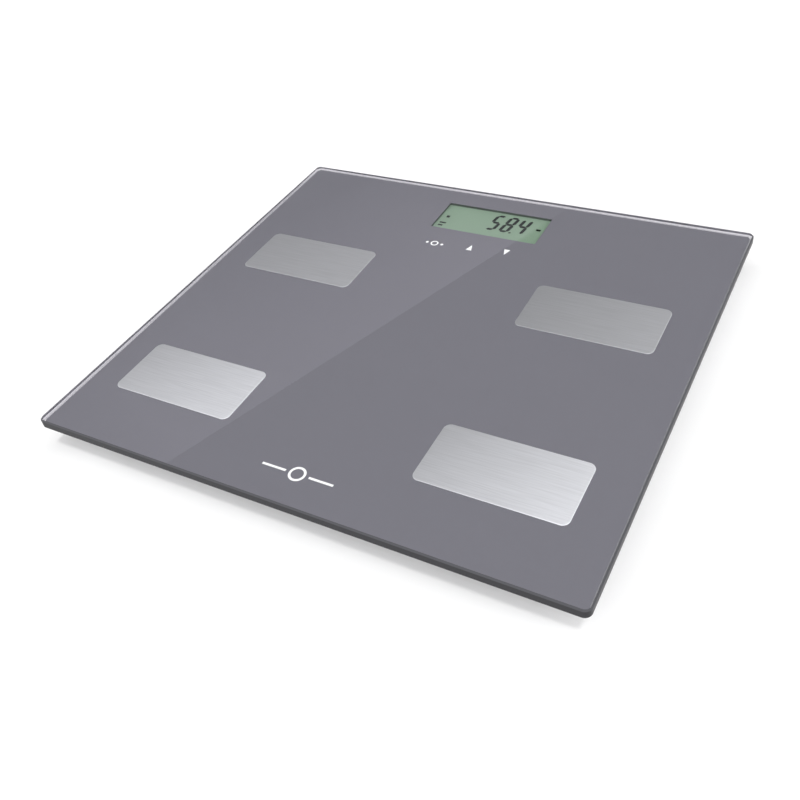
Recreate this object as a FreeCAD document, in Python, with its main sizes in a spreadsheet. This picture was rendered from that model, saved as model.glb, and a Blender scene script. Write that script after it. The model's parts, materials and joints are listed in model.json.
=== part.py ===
import FreeCAD, Part
import math
import os
import re
import Sketcher

# A glass body-composition scale, in millimetres. X runs from left to right and Y towards the display.
# Z points up, and the origin lies on the floor under the middle of the platform.

SIZES = (
    ("plate_width", 300, "glass platform, left to right"),
    ("plate_depth", 280, "glass platform, front to back"),
    ("plate_thick", 5.5, "tempered glass"),
    ("plate_corner", 3.6, "plan radius of the glass corners"),
    ("plate_arris", 0.8, "ground arris along the glass edges"),
    ("film_thick", 0.2, "printed film bonded under the glass"),
    ("film_inset", 1.8, "film edge inside the glass edge"),
    ("window_width", 70, "clear window in the print"),
    ("window_depth", 29, "clear window in the print"),
    ("window_corner", 0.6, "window corners"),
    ("display_x", -2, "centre of the window and the circuit board"),
    ("display_margin", 30.5, "window centre to the back edge of the glass"),
    ("key_drop", 29.5, "window centre to the row of touch keys"),
    ("key_pitch", 22, "from one touch key to the next"),
    ("electrode_width", 75, "steel electrode"),
    ("electrode_depth", 38.5, "steel electrode"),
    ("electrode_thick", 0.4, "steel electrode"),
    ("electrode_corner", 3.8, "steel electrode"),
    ("electrode_round", 0.25, "rolled top edge of an electrode"),
    ("electrode_side_margin", 22.5, "electrode to the side of the glass"),
    ("electrode_front_margin", 36.05, "front electrodes to the front of the glass"),
    ("electrode_pitch", 119.3, "front electrodes to back electrodes"),
    ("adhesive_thick", 0.1, "adhesive sheet under an electrode"),
    ("adhesive_inset", 2, "adhesive edge inside the electrode edge"),
    ("stud_diameter", 3, "threaded stud welded under an electrode"),
    ("stud_shift", 28, "stud from the electrode centre, towards the middle"),
    ("stud_hole", 4.5, "hole for the stud in glass, film and adhesive"),
    ("stud_proud", 0.4, "stud past its nut"),
    ("thread_gap", 0.05, "between a thread and what it screws into"),
    ("nut_across", 5.5, "hexagon nut, across flats"),
    ("nut_thick", 2.4, "hexagon nut"),
    ("terminal_thick", 0.5, "ring terminal"),
    ("terminal_diameter", 7, "ring terminal"),
    ("barrel_diameter", 1.8, "crimp barrel of a ring terminal"),
    ("barrel_length", 5, "crimp barrel of a ring terminal"),
    ("tape_thick", 0.8, "foam tape between the tray and the platform"),
    ("tape_width", 5, "foam tape"),
    ("tape_margin", 0.8, "tape inside the edge of the tray flange"),
    ("ground_gap", 4.5, "floor to the underside of the tray"),
    ("tray_height", 10.8, "underside of the tray to its flange"),
    ("tray_inset", 7.5, "flange edge inside the glass edge"),
    ("flange_width", 5, "flange around the tub of the tray"),
    ("flange_thick", 2, "flange around the tub of the tray"),
    ("flange_corner", 12, "plan radius of the flange corners"),
    ("tray_wall", 2, "side walls of the tray"),
    ("tray_floor", 2, "floor of the tray"),
    ("tray_fillet", 4, "rounded lower edge of the tray"),
    ("rib_thick", 1.2, "stiffening ribs on the tray floor"),
    ("rib_height", 2.5, "stiffening ribs on the tray floor"),
    ("rib_gap", 15, "lengthwise rib to the load cell carriers"),
    ("rib_front", -50, "front crosswise rib"),
    ("rib_back", -5, "back crosswise rib"),
    ("panel_sink", 0.5, "sunk panels in the underside"),
    ("panel_start", 30, "middle of the tray to a sunk panel"),
    ("panel_margin", 11.5, "sunk panel to the side of the tray"),
    ("panel_foot_gap", 10, "sunk panel to the feet"),
    ("panel_corner", 8, "sunk panel corners"),
    ("label_width", 46, "rating label"),
    ("label_depth", 28, "rating label"),
    ("label_thick", 0.15, "rating label"),
    ("label_sink", 0.3, "recess for the rating label"),
    ("label_front", -60, "centre of the rating label"),
    ("label_edge", 0.5, "label edge to the edge of its recess"),
    ("carrier_width", 40, "load cell carrier"),
    ("carrier_corner", 3, "load cell carrier"),
    ("carrier_gap", 5.5, "carrier to the walls of the tray"),
    ("carrier_roof", 3, "carrier, over the hollow above the cell"),
    ("carrier_relief", 2.2, "hollow above the cell"),
    ("relief_width", 26, "hollow above the cell"),
    ("carrier_fit", 0.2, "carrier around the cell"),
    ("lip_height", 0.8, "snap lip under the cell"),
    ("lip_reach", 1, "snap lip under the cell"),
    ("lip_length", 10, "snap lip under the cell"),
    ("lip_gap", 0.05, "snap lip to the cell"),
    ("cell_width", 34, "load cell"),
    ("cell_thick", 2.5, "load cell"),
    ("cell_corner", 3, "load cell"),
    ("cell_window_width", 20, "slot around the tongue of the cell"),
    ("cell_window_depth", 24, "slot around the tongue of the cell"),
    ("tongue_width", 14, "tongue of the cell"),
    ("gauge_pitch", 7, "strain gauges of a cell, between centres"),
    ("tongue_gap", 2, "free end of the tongue to the frame"),
    ("gauge_length", 5, "strain gauge"),
    ("gauge_width", 3, "strain gauge"),
    ("gauge_thick", 0.2, "strain gauge"),
    ("foot_diameter", 30, "foot"),
    ("foot_height", 3.4, "rim of the foot"),
    ("foot_edge", 1, "bevel of the foot"),
    ("foot_gap", 1.3, "foot to the edge of its hole in the tray"),
    ("foot_proud", 1, "rubber pad below the foot"),
    ("post_diameter", 13, "post of the foot, under the tongue"),
    ("post_gap", 0.1, "post to the tongue"),
    ("spigot_diameter", 5, "spigot of the foot, through the tongue"),
    ("spigot_gap", 0.2, "spigot to its hole"),
    ("spigot_length", 3, "spigot above the post"),
    ("collar_wall", 2.4, "collar around a foot hole"),
    ("collar_height", 0.8, "collar around a foot hole"),
    ("pad_diameter", 26, "rubber pad"),
    ("pad_thick", 1.8, "rubber pad"),
    ("pad_round", 0.4, "lower edge of the rubber pad"),
    ("pad_gap", 0.15, "rubber pad to the wall of its recess"),
    ("board_width", 92, "circuit board"),
    ("board_depth", 56, "circuit board"),
    ("board_thick", 1.2, "circuit board"),
    ("board_corner", 1.5, "circuit board"),
    ("board_gap", 0.5, "circuit board to the back wall of the tray"),
    ("board_lift", 3.1, "tray floor to the circuit board"),
    ("board_hole", 2.4, "screw hole in the circuit board"),
    ("board_hole_inset", 4, "screw hole to the edges of the board"),
    ("boss_diameter", 5.4, "screw boss on the tray floor"),
    ("screw_diameter", 1.9, "thread of a board screw"),
    ("screw_length", 5, "board screw under its head"),
    ("screw_head", 4, "head of a board screw"),
    ("screw_head_height", 1.2, "head of a board screw"),
    ("screw_slot_length", 3.2, "slot in the head of a board screw"),
    ("screw_slot_width", 0.8, "slot in the head of a board screw"),
    ("boss_base", 1, "plastic left under a screw hole"),
    ("lcd_width", 72, "liquid crystal panel"),
    ("lcd_depth", 29.7, "liquid crystal panel"),
    ("lcd_thick", 2.4, "liquid crystal panel"),
    ("lcd_recess", 1.5, "face of the panel below the film"),
    ("lcd_fit", 0.15, "bezel around the panel"),
    ("bezel_wall", 0.9, "bezel around the panel"),
    ("bezel_clear", 1, "least room between the bezel and a screw of the board"),
    ("leg_pitch", 14.8, "snap legs of the bezel, between centres"),
    ("bezel_view", 0.2, "edge of the bezel outside the window"),
    ("bezel_gap", 0.1, "bezel to the film and to the board"),
    ("leg_width", 4, "snap leg of the bezel"),
    ("leg_barb", 0.5, "barb of a snap leg"),
    ("leg_gap", 0.15, "snap leg to its slot in the board"),
    ("zebra_length", 66, "elastomer connector strip"),
    ("zebra_width", 2, "elastomer connector strip"),
    ("zebra_inset", 0.6, "connector strip to the edge of the panel"),
    ("backlight_width", 66, "light guide behind the panel"),
    ("backlight_depth", 22, "light guide behind the panel"),
    ("backlight_thick", 1.3, "light guide behind the panel"),
    ("chip_diameter", 11, "resin cap over the controller"),
    ("chip_height", 1.5, "resin cap over the controller"),
    ("chip_round", 1, "resin cap over the controller"),
    ("chip_shift", 12, "resin cap from the middle of the board"),
    ("spring_diameter", 8, "touch key spring"),
    ("spring_wire", 0.6, "touch key spring"),
    ("spring_turns", 4, "touch key spring"),
    ("switch_width", 4.6, "unit switch"),
    ("switch_height", 1.4, "unit switch"),
    ("switch_hollow", 1.2, "depth of the plunger guide in the switch"),
    ("plunger_diameter", 2, "plunger of the unit switch"),
    ("plunger_gap", 0.2, "plunger to its guide"),
    ("plunger_stroke_left", 0.5, "plunger to the bottom of its guide"),
    ("button_shift", 30, "unit button from the middle of the board"),
    ("button_inset", 15, "unit button to the front edge of the board"),
    ("button_diameter", 7, "unit button"),
    ("button_gap", 0.4, "unit button to its hole"),
    ("button_sink", 0.4, "unit button inside the underside of the tray"),
    ("button_flange", 10, "flange that keeps the button in"),
    ("button_flange_height", 0.9, "flange that keeps the button in"),
    ("button_seat", 0.1, "flange to the tray floor"),
    ("dish_diameter", 16, "finger dish around the button"),
    ("dish_depth", 0.6, "finger dish around the button"),
    ("battery_gap", 6.1, "battery well to the circuit board"),
    ("well_wall", 1.6, "walls of the battery well"),
    ("well_roof", 1.2, "roof of the battery well"),
    ("door_width", 30, "battery door"),
    ("door_depth", 32, "battery door"),
    ("door_thick", 1.4, "battery door"),
    ("door_corner", 2, "battery door"),
    ("door_gap", 0.3, "battery door to its opening"),
    ("tab_width", 5, "tab of the battery door"),
    ("tab_spread", 9, "tab from the middle of the door"),
    ("tab_reach", 2, "tab over the tray floor"),
    ("tab_thick", 1, "tab of the battery door"),
    ("tab_gap", 0.1, "tab to the tray floor"),
    ("tab_slot_height", 3.2, "slot for a tab in the well wall"),
    ("latch_width", 10, "spring tongue of the battery door"),
    ("latch_thick", 1, "spring tongue of the battery door"),
    ("latch_height", 1.8, "spring tongue above the door"),
    ("notch_diameter", 13, "fingernail notch beside the door"),
    ("notch_depth", 1, "fingernail notch beside the door"),
    ("coin_diameter", 20, "coin cell"),
    ("coin_thick", 3.2, "coin cell"),
    ("coin_round", 0.3, "rim of the coin cell"),
    ("coin_seat", 0.2, "coin cell to the door"),
    ("coin_head", 0.8, "coin cell to the roof of the well"),
    ("cradle_wall", 1.8, "ring around the coin cell"),
    ("cradle_gap", 0.4, "ring to the coin cell"),
    ("contact_thick", 0.3, "battery contacts"),
    ("contact_width", 5, "battery contacts"),
    ("contact_gap", 0.05, "battery contacts to the coin cell"),
    ("dimple_diameter", 4, "dimple of the negative contact"),
    ("contact_shift", 6, "negative solder tag from the middle of the cell"),
    ("tag_width", 2, "solder tag of a contact"),
    ("tag_length", 4, "solder tag of a contact"),
    ("tag_slot_gap", 0.3, "solder tag to its slot"),
    ("lead_diameter", 1.2, "insulated lead"),
    ("cell_lead_diameter", 1.8, "three-core lead of a load cell"),
    ("lead_gap", 0.05, "lead to what it lies on"),
    ("lead_bend", 9, "largest bend radius of a lead"),
    ("lane_inner", 24, "load cell leads from the middle of the board"),
    ("lane_middle", 29, "front electrode leads"),
    ("lane_outer", 34, "back electrode leads"),
    ("board_lead_foot", 10, "foot of a lead's rise to the front edge of the board"),
    ("board_lead_gap", 3, "top of a lead's rise to the front edge of the board"),
    ("board_lead_lap", 3, "lead over the front edge of the board"),
    ("cell_lead_start", 2, "start of a cell lead inside the relief of its carrier"),
    ("cell_lead_reach", 6, "level run of a cell lead beyond its carrier"),
    ("cell_lead_fall", 12, "length over which a cell lead drops to the ribs"),
    ("cell_lead_set", 8, "back cell leads in front of their cells at the board"),
    ("cell_lead_side", 14, "back cell lead beside the board"),
    ("cell_lead_lap", 5, "back cell lead over the side of the board"),
    ("electrode_lead_start", 5, "level run of a front electrode lead"),
    ("electrode_lead_fall", 12, "length over which a front electrode lead drops to the ribs"),
    ("electrode_lead_low", 10, "straight run of a front electrode lead on the ribs"),
    ("electrode_lead_swing", 22, "length over which a front electrode lead reaches its lane"),
    ("back_lead_start", 4, "level run of a back electrode lead"),
    ("back_lead_fall", 7, "length over which a back electrode lead drops to the board"),
    ("back_lead_shift", 9, "sideways run of that drop"),
    ("battery_lead_gap", 1, "top of a battery lead's rise to the front edge of the board"),
)
ALIASES = {alias for alias, value, meaning in SIZES}

# Levels above the floor.
TRAY_FLOOR = "(ground_gap + tray_floor)"
FLANGE_TOP = "(ground_gap + tray_height)"
FILM_BOTTOM = f"({FLANGE_TOP} + tape_thick)"
GLASS_BOTTOM = f"({FILM_BOTTOM} + film_thick)"
GLASS_TOP = f"({GLASS_BOTTOM} + plate_thick)"
ELECTRODE_BOTTOM = f"({GLASS_TOP} + adhesive_thick)"
TERMINAL_BOTTOM = f"({FILM_BOTTOM} - terminal_thick)"
NUT_BOTTOM = f"({TERMINAL_BOTTOM} - nut_thick)"
CELL_TOP = f"({FILM_BOTTOM} - carrier_roof - carrier_relief)"
CELL_BOTTOM = f"({CELL_TOP} - cell_thick)"
CARRIER_BOTTOM = f"({CELL_BOTTOM} - lip_height - lip_gap)"
BOARD_BOTTOM = f"({TRAY_FLOOR} + board_lift)"
BOARD_TOP = f"({BOARD_BOTTOM} + board_thick)"
LCD_TOP = f"({FILM_BOTTOM} - lcd_recess)"
LCD_BOTTOM = f"({LCD_TOP} - lcd_thick)"
SWITCH_BOTTOM = f"({BOARD_BOTTOM} - switch_height)"
BUTTON_BOTTOM = "(ground_gap + button_sink)"
BUTTON_FLANGE = f"({TRAY_FLOOR} + button_seat)"
BUTTON_TOP = f"({BUTTON_FLANGE} + button_flange_height)"
COIN_BOTTOM = "(ground_gap + door_thick + coin_seat)"
COIN_TOP = f"({COIN_BOTTOM} + coin_thick)"
WELL_CEILING = f"({COIN_TOP} + coin_head)"
WELL_TOP = f"({WELL_CEILING} + well_roof)"

# Places in plan.
FLANGE_WIDTH = "(plate_width - 2 * tray_inset)"
FLANGE_DEPTH = "(plate_depth - 2 * tray_inset)"
TUB_WIDTH = f"({FLANGE_WIDTH} - 2 * flange_width)"
TUB_DEPTH = f"({FLANGE_DEPTH} - 2 * flange_width)"
INNER_WIDTH = f"({TUB_WIDTH} - 2 * tray_wall)"
INNER_DEPTH = f"({TUB_DEPTH} - 2 * tray_wall)"
TUB_CORNER = "(flange_corner - flange_width)"
INNER_CORNER = f"({TUB_CORNER} - tray_wall)"
DISPLAY_Y = "(plate_depth / 2 - display_margin)"
KEY_Y = f"({DISPLAY_Y} - key_drop)"
ELECTRODE_X = "(plate_width / 2 - electrode_side_margin - electrode_width / 2)"
ELECTRODE_FRONT = "(electrode_front_margin + electrode_depth / 2 - plate_depth / 2)"
ELECTRODE_Y = {"front": ELECTRODE_FRONT, "back": f"({ELECTRODE_FRONT} + electrode_pitch)"}
STUD_X = f"({ELECTRODE_X} - stud_shift)"
FOOT_X = f"({INNER_WIDTH} / 2 - carrier_gap - carrier_width / 2)"
FOOT_Y = f"({INNER_DEPTH} / 2 - carrier_gap - carrier_width / 2)"
FOOT_HOLE = "(foot_diameter + 2 * foot_gap)"
BEZEL_WIDTH = "(lcd_width + 2 * lcd_fit + 2 * bezel_wall)"
BEZEL_DEPTH = "(lcd_depth + 2 * lcd_fit + 2 * bezel_wall)"
BOARD_Y = f"({INNER_DEPTH} / 2 - board_gap - board_depth / 2)"
BOARD_FRONT = f"({BOARD_Y} - board_depth / 2)"
BOARD_WIDTH = f"max(board_width; {BEZEL_WIDTH} + 2 * (bezel_clear + board_hole_inset) + screw_head)"
BOARD_HOLE_X = f"({BOARD_WIDTH} / 2 - board_hole_inset)"
BOARD_HOLE_Y = "(board_depth / 2 - board_hole_inset)"
LEG_X = "(lcd_width / 2 + lcd_fit + bezel_wall / 2)"
BUTTON_X = "(display_x + button_shift)"
BUTTON_Y = f"({BOARD_FRONT} + button_inset)"
WELL_WIDTH = "(door_width + 2 * door_gap)"
WELL_DEPTH = "(door_depth + 2 * door_gap)"
BATTERY_Y = f"({BOARD_FRONT} - battery_gap - well_wall - {WELL_DEPTH} / 2)"
POSITIVE_X = "(coin_diameter / 2 + contact_gap + contact_thick / 2)"

SIDES = {"left": -1, "right": 1}
ENDS = {"front": -1, "back": 1}
CORNERS = [(end, side) for end in ENDS for side in SIDES]

doc = FreeCAD.newDocument("BathroomScale")
sheet = doc.addObject("Spreadsheet::Sheet", "Dims")
for row, (alias, value, meaning) in enumerate(SIZES, start=1):
    sheet.set(f"A{row}", meaning)
    sheet.set(f"B{row}", str(value))
    sheet.setAlias(f"B{row}", alias)
doc.recompute()

pieces = []


def on_sheet(expression):
    """The expression with every size in it pointed at its cell."""
    return re.sub(r"[a-z_]+", lambda word: f"Dims.{word.group()}" if word.group() in ALIASES
                  else word.group(), expression)


def size(expression):
    """The value of an expression, in millimetres."""
    return float(sheet.evalExpression(on_sheet(expression)))


def bind(thing, name, expression):
    """Tie a property to the sheet."""
    thing.setExpression(name, on_sheet(expression))


def place(thing, x, y, z):
    """Tie an object's position to the sheet."""
    bind(thing, "Placement.Base.x", x)
    bind(thing, "Placement.Base.y", y)
    bind(thing, "Placement.Base.z", z)


def keep(thing, label):
    """Name a finished sub-part, which gets a file of its own."""
    thing.Label = label
    pieces.append(thing)
    return thing


# Sketch profiles. Each returns a function that draws it about the sketch's own origin.

def fix_length(sketch, kind, *geometry_and_value):
    """Add a driving dimension, and tie it to the sheet."""
    *geometry, expression = geometry_and_value
    number = sketch.addConstraint(Sketcher.Constraint(kind, *geometry, size(expression)))
    bind(sketch, f"Constraints[{number}]", expression)


def disc(diameter):
    """A circle about the origin."""
    def draw(sketch):
        sketch.addGeometry(Part.Circle(FreeCAD.Vector(), FreeCAD.Vector(0, 0, 1), size(diameter) / 2))
        sketch.addConstraint(Sketcher.Constraint("Coincident", 0, 3, -1, 1))
        fix_length(sketch, "Diameter", 0, diameter)
    return draw


def rectangle(width, depth, corner):
    """A rectangle with round corners, centred on the origin."""
    def draw(sketch):
        half_x = size(width) / 2
        half_y = size(depth) / 2
        radius = size(corner)
        turns = ((1, -1), (1, 1), (-1, 1), (-1, -1))
        centres = [FreeCAD.Vector(a * (half_x - radius), b * (half_y - radius)) for a, b in turns]
        outward = [FreeCAD.Vector(*way) for way in ((0, -1), (1, 0), (0, 1), (-1, 0))]
        for number, way in enumerate(outward):
            start = centres[number - 1] + way * radius
            end = centres[number] + way * radius
            sketch.addGeometry(Part.LineSegment(start, end))
        for number, centre in enumerate(centres):
            whole = Part.Circle(centre, FreeCAD.Vector(0, 0, 1), radius)
            start = (number - 1) * math.pi / 2
            sketch.addGeometry(Part.ArcOfCircle(whole, start, start + math.pi / 2))
        for line in range(4):
            arc = 4 + line
            sketch.addConstraint(Sketcher.Constraint("Tangent", line, 2, arc, 1))
            sketch.addConstraint(Sketcher.Constraint("Tangent", arc, 2, (line + 1) % 4, 1))
            sketch.addConstraint(Sketcher.Constraint("Vertical" if line % 2 else "Horizontal", line))
        for arc in (5, 6, 7):
            sketch.addConstraint(Sketcher.Constraint("Equal", 4, arc))
        sketch.addConstraint(Sketcher.Constraint("Symmetric", 4, 3, 6, 3, -1, 1))
        fix_length(sketch, "Radius", 4, corner)
        fix_length(sketch, "DistanceX", 3, 1, 1, 1, width)
        fix_length(sketch, "DistanceY", 0, 1, 2, 1, depth)
    return draw


def sharp_rectangle(width, depth):
    """A rectangle with square corners, centred on the origin."""
    def draw(sketch):
        half_x = size(width) / 2
        half_y = size(depth) / 2
        ways = ((-1, -1), (1, -1), (1, 1), (-1, 1))
        corners = [FreeCAD.Vector(a * half_x, b * half_y) for a, b in ways]
        for number in range(4):
            sketch.addGeometry(Part.LineSegment(corners[number], corners[(number + 1) % 4]))
        for line in range(4):
            sketch.addConstraint(Sketcher.Constraint("Coincident", line, 2, (line + 1) % 4, 1))
            sketch.addConstraint(Sketcher.Constraint("Vertical" if line % 2 else "Horizontal", line))
        sketch.addConstraint(Sketcher.Constraint("Symmetric", 0, 1, 2, 1, -1, 1))
        fix_length(sketch, "DistanceX", 0, 1, 0, 2, width)
        fix_length(sketch, "DistanceY", 1, 1, 1, 2, depth)
    return draw


def half_section(points):
    """A closed outline of straight lines, given by distances from the axis and heights."""
    def draw(sketch):
        corners = [FreeCAD.Vector(size(x), size(y)) for x, y in points]
        count = len(corners)
        for number in range(count):
            sketch.addGeometry(Part.LineSegment(corners[number], corners[(number + 1) % count]))
        for line in range(count):
            sketch.addConstraint(Sketcher.Constraint("Coincident", line, 2, (line + 1) % count, 1))
        for line, (x, y) in enumerate(points):
            for kind, value, axis in (("DistanceX", x, -2), ("DistanceY", y, -1)):
                if size(value) == 0:
                    sketch.addConstraint(Sketcher.Constraint("PointOnObject", line, 1, axis))
                else:
                    fix_length(sketch, kind, -1, 1, line, 1, value)
    return draw


# Features. Each works upwards from its base level.

def new_body(label, x="0", y="0", z="0"):
    """A PartDesign body at a place of its own."""
    body = doc.addObject("PartDesign::Body", label)
    place(body, x, y, z)
    return keep(body, label)


def new_sketch(body, role, profile, x="0", y="0", base="0"):
    """A sketch on one of the body's origin planes."""
    sketch = body.newObject("Sketcher::SketchObject", f"{body.Name}_sketch")
    plane = next(item for item in body.Origin.OriginFeatures if item.Role == role)
    sketch.AttachmentSupport = [(plane, "")]
    sketch.MapMode = "FlatFace"
    bind(sketch, ".AttachmentOffset.Base.x", x)
    bind(sketch, ".AttachmentOffset.Base.y", y)
    bind(sketch, ".AttachmentOffset.Base.z", base)
    profile(sketch)
    return sketch


def add(body, profile, base, height, x="0", y="0"):
    """Pad a profile upwards from its base level."""
    sketch = new_sketch(body, "XY_Plane", profile, x, y, base)
    pad = body.newObject("PartDesign::Pad", f"{body.Name}_pad")
    pad.Profile = sketch
    bind(pad, "Length", height)
    return pad


def cut(body, profile, base, height, x="0", y="0"):
    """Pocket a profile upwards from its base level."""
    sketch = new_sketch(body, "XY_Plane", profile, x, y, base)
    pocket = body.newObject("PartDesign::Pocket", f"{body.Name}_pocket")
    pocket.Profile = sketch
    pocket.Reversed = True
    bind(pocket, "Length", height)
    return pocket


def turn(body, points):
    """Revolve a half section about the vertical axis."""
    sketch = new_sketch(body, "XZ_Plane", half_section(points))
    revolution = body.newObject("PartDesign::Revolution", f"{body.Name}_turn")
    revolution.Profile = sketch
    revolution.ReferenceAxis = (sketch, ["V_Axis"])
    revolution.Angle = 360
    return revolution


def edges_at(feature, level, reach="0"):
    """Names of the level edges at a height in the body, further out than reach."""
    doc.recompute()
    height = size(level)
    limit = size(reach)
    found = []
    for number, edge in enumerate(feature.Shape.Edges, start=1):
        box = edge.BoundBox
        span = max(abs(box.XMin), abs(box.XMax), abs(box.YMin), abs(box.YMax))
        if abs(box.ZMin - height) < 1e-6 and abs(box.ZMax - height) < 1e-6 and span > limit:
            found.append(f"Edge{number}")
    return found


def soften(body, kind, feature, edges, amount):
    """Fillet or chamfer edges of the body's last feature."""
    dressing = body.newObject(f"PartDesign::{kind}", f"{body.Name}_{kind.lower()}")
    dressing.Base = (feature, edges)
    bind(dressing, "Radius" if kind == "Fillet" else "Size", amount)
    return dressing


def block(name, width, depth, height, x, y, z):
    """A box centred in plan over a point."""
    box = doc.addObject("Part::Box", name)
    bind(box, "Length", width)
    bind(box, "Width", depth)
    bind(box, "Height", height)
    place(box, f"({x}) - ({width}) / 2", f"({y}) - ({depth}) / 2", z)
    return box


def rod(name, diameter, height, x, y, z):
    """An upright cylinder."""
    cylinder = doc.addObject("Part::Cylinder", name)
    bind(cylinder, "Radius", f"({diameter}) / 2")
    bind(cylinder, "Height", height)
    place(cylinder, x, y, z)
    return cylinder


def subtract(name, base, tool):
    """One Part object less another."""
    result = doc.addObject("Part::Cut", name)
    result.Base = base
    result.Tool = tool
    return result


def unite(name, *parts):
    """Part objects that overlap, as one solid."""
    result = doc.addObject("Part::MultiFuse", name)
    result.Shapes = parts
    return result


def group(label, members):
    """Like solids that share one node."""
    compound = doc.addObject("Part::Compound", label)
    compound.Links = members
    return keep(compound, label)


def signed(sign, expression):
    """The expression, or its negative."""
    return expression if sign > 0 else f"-{expression}"


# The platform: glass, printed film and electrodes.

def make_glass():
    """Tempered plate with ground edges and a hole for each electrode's stud."""
    body = new_body("glass_platform", z=GLASS_BOTTOM)
    plate = add(body, rectangle("plate_width", "plate_depth", "plate_corner"), "0", "plate_thick")
    rims = edges_at(plate, "0") + edges_at(plate, "plate_thick")
    soften(body, "Chamfer", plate, rims, "plate_arris")
    for end, side in CORNERS:
        cut(body, disc("stud_hole"), "0", "plate_thick", signed(SIDES[side], STUD_X), ELECTRODE_Y[end])


def make_film():
    """Printed film with the display window."""
    body = new_body("printed_film", z=FILM_BOTTOM)
    outline = rectangle("plate_width - 2 * film_inset", "plate_depth - 2 * film_inset",
                        "plate_corner - film_inset")
    add(body, outline, "0", "film_thick")
    window = rectangle("window_width", "window_depth", "window_corner")
    cut(body, window, "0", "film_thick", "display_x", DISPLAY_Y)
    for end, side in CORNERS:
        cut(body, disc("stud_hole"), "0", "film_thick", signed(SIDES[side], STUD_X), ELECTRODE_Y[end])


def make_electrode(end, side):
    """Steel plate with rolled edges and a stud welded under it."""
    sign = SIDES[side]
    body = new_body(f"electrode_{end}_{side}", signed(sign, ELECTRODE_X), ELECTRODE_Y[end], ELECTRODE_BOTTOM)
    plate = add(body, rectangle("electrode_width", "electrode_depth", "electrode_corner"),
                "0", "electrode_thick")
    soften(body, "Fillet", plate, edges_at(plate, "electrode_thick"), "electrode_round")
    length = f"({ELECTRODE_BOTTOM} - {NUT_BOTTOM} + stud_proud)"
    add(body, disc("stud_diameter"), f"-{length}", length, signed(-sign, "stud_shift"))


def make_electrode_fixings():
    """Adhesive sheets, ring terminals and nuts of the electrodes."""
    sheets = []
    terminals = []
    nuts = []
    for end, side in CORNERS:
        sign = SIDES[side]
        stud_x = signed(sign, STUD_X)
        y = ELECTRODE_Y[end]
        name = f"{end}_{side}"
        adhesive = block(f"adhesive_sheet_{name}", "electrode_width - 2 * adhesive_inset",
                         "electrode_depth - 2 * adhesive_inset", "adhesive_thick",
                         signed(sign, ELECTRODE_X), y, GLASS_TOP)
        hole = rod(f"adhesive_hole_{name}", "stud_hole", "adhesive_thick", stud_x, y, GLASS_TOP)
        sheets.append(subtract(f"adhesive_{name}", adhesive, hole))
        terminals.append(make_terminal(name, stud_x, y))
        prism = doc.addObject("Part::Prism", f"hexagon_{name}")
        prism.Polygon = 6
        bind(prism, "Circumradius", "nut_across / sqrt(3)")
        bind(prism, "Height", "nut_thick")
        place(prism, stud_x, y, NUT_BOTTOM)
        bore = rod(f"nut_bore_{name}", "stud_diameter + 2 * thread_gap", "nut_thick", stud_x, y, NUT_BOTTOM)
        nuts.append(subtract(f"nut_{name}", prism, bore))
    group("electrode_adhesive", sheets)
    group("electrode_terminals", terminals)
    group("electrode_nuts", nuts)


def make_terminal(name, x, y):
    """Ring terminal with its crimp barrel pointing to the back."""
    ring = rod(f"terminal_ring_{name}", "terminal_diameter", "terminal_thick", x, y, TERMINAL_BOTTOM)
    neck_y = f"{y} + terminal_diameter / 2"
    neck = block(f"terminal_neck_{name}", "barrel_diameter", "terminal_diameter / 2", "terminal_thick",
                 x, neck_y, TERMINAL_BOTTOM)
    barrel = doc.addObject("Part::Cylinder", f"terminal_barrel_{name}")
    bind(barrel, "Radius", "barrel_diameter / 2")
    bind(barrel, "Height", "barrel_length")
    barrel.Placement = FreeCAD.Placement(FreeCAD.Vector(), FreeCAD.Rotation(FreeCAD.Vector(1, 0, 0), -90))
    place(barrel, x, neck_y, f"{FILM_BOTTOM} - barrel_diameter / 2")
    body = unite(f"terminal_body_{name}", ring, neck, barrel)
    hole = rod(f"terminal_hole_{name}", "stud_diameter + 2 * thread_gap", "terminal_thick",
               x, y, TERMINAL_BOTTOM)
    return subtract(f"terminal_{name}", body, hole)


def make_tape():
    """Foam tape on the flange of the tray."""
    body = new_body("bond_tape", z=FLANGE_TOP)
    width = f"{FLANGE_WIDTH} - 2 * tape_margin"
    depth = f"{FLANGE_DEPTH} - 2 * tape_margin"
    add(body, rectangle(width, depth, "flange_corner - tape_margin"), "0", "tape_thick")
    cut(body, rectangle(f"{width} - 2 * tape_width", f"{depth} - 2 * tape_width",
                        "flange_corner - tape_margin - tape_width"), "0", "tape_thick")


# The tray.

def make_tray():
    """Moulded tray: tub, flange, ribs, screw bosses, battery well and its openings."""
    body = new_body("base_tray")
    tub = add(body, rectangle(TUB_WIDTH, TUB_DEPTH, TUB_CORNER), "ground_gap", "tray_height")
    soften(body, "Fillet", tub, edges_at(tub, "ground_gap"), "tray_fillet")
    add(body, rectangle(FLANGE_WIDTH, FLANGE_DEPTH, "flange_corner"),
        f"{FLANGE_TOP} - flange_thick", "flange_thick")
    cut(body, rectangle(INNER_WIDTH, INNER_DEPTH, INNER_CORNER), TRAY_FLOOR, "tray_height - tray_floor")
    add_ribs(body)
    for end, side in CORNERS:
        x = signed(SIDES[side], FOOT_X)
        y = signed(ENDS[end], FOOT_Y)
        add(body, disc(f"{FOOT_HOLE} + 2 * collar_wall"), TRAY_FLOOR, "collar_height", x, y)
        cut(body, disc(FOOT_HOLE), "ground_gap", "tray_floor + collar_height", x, y)
        add_screw_boss(body, SIDES[side], ENDS[end])
    add_battery_well(body)
    cut_underside(body)


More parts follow.
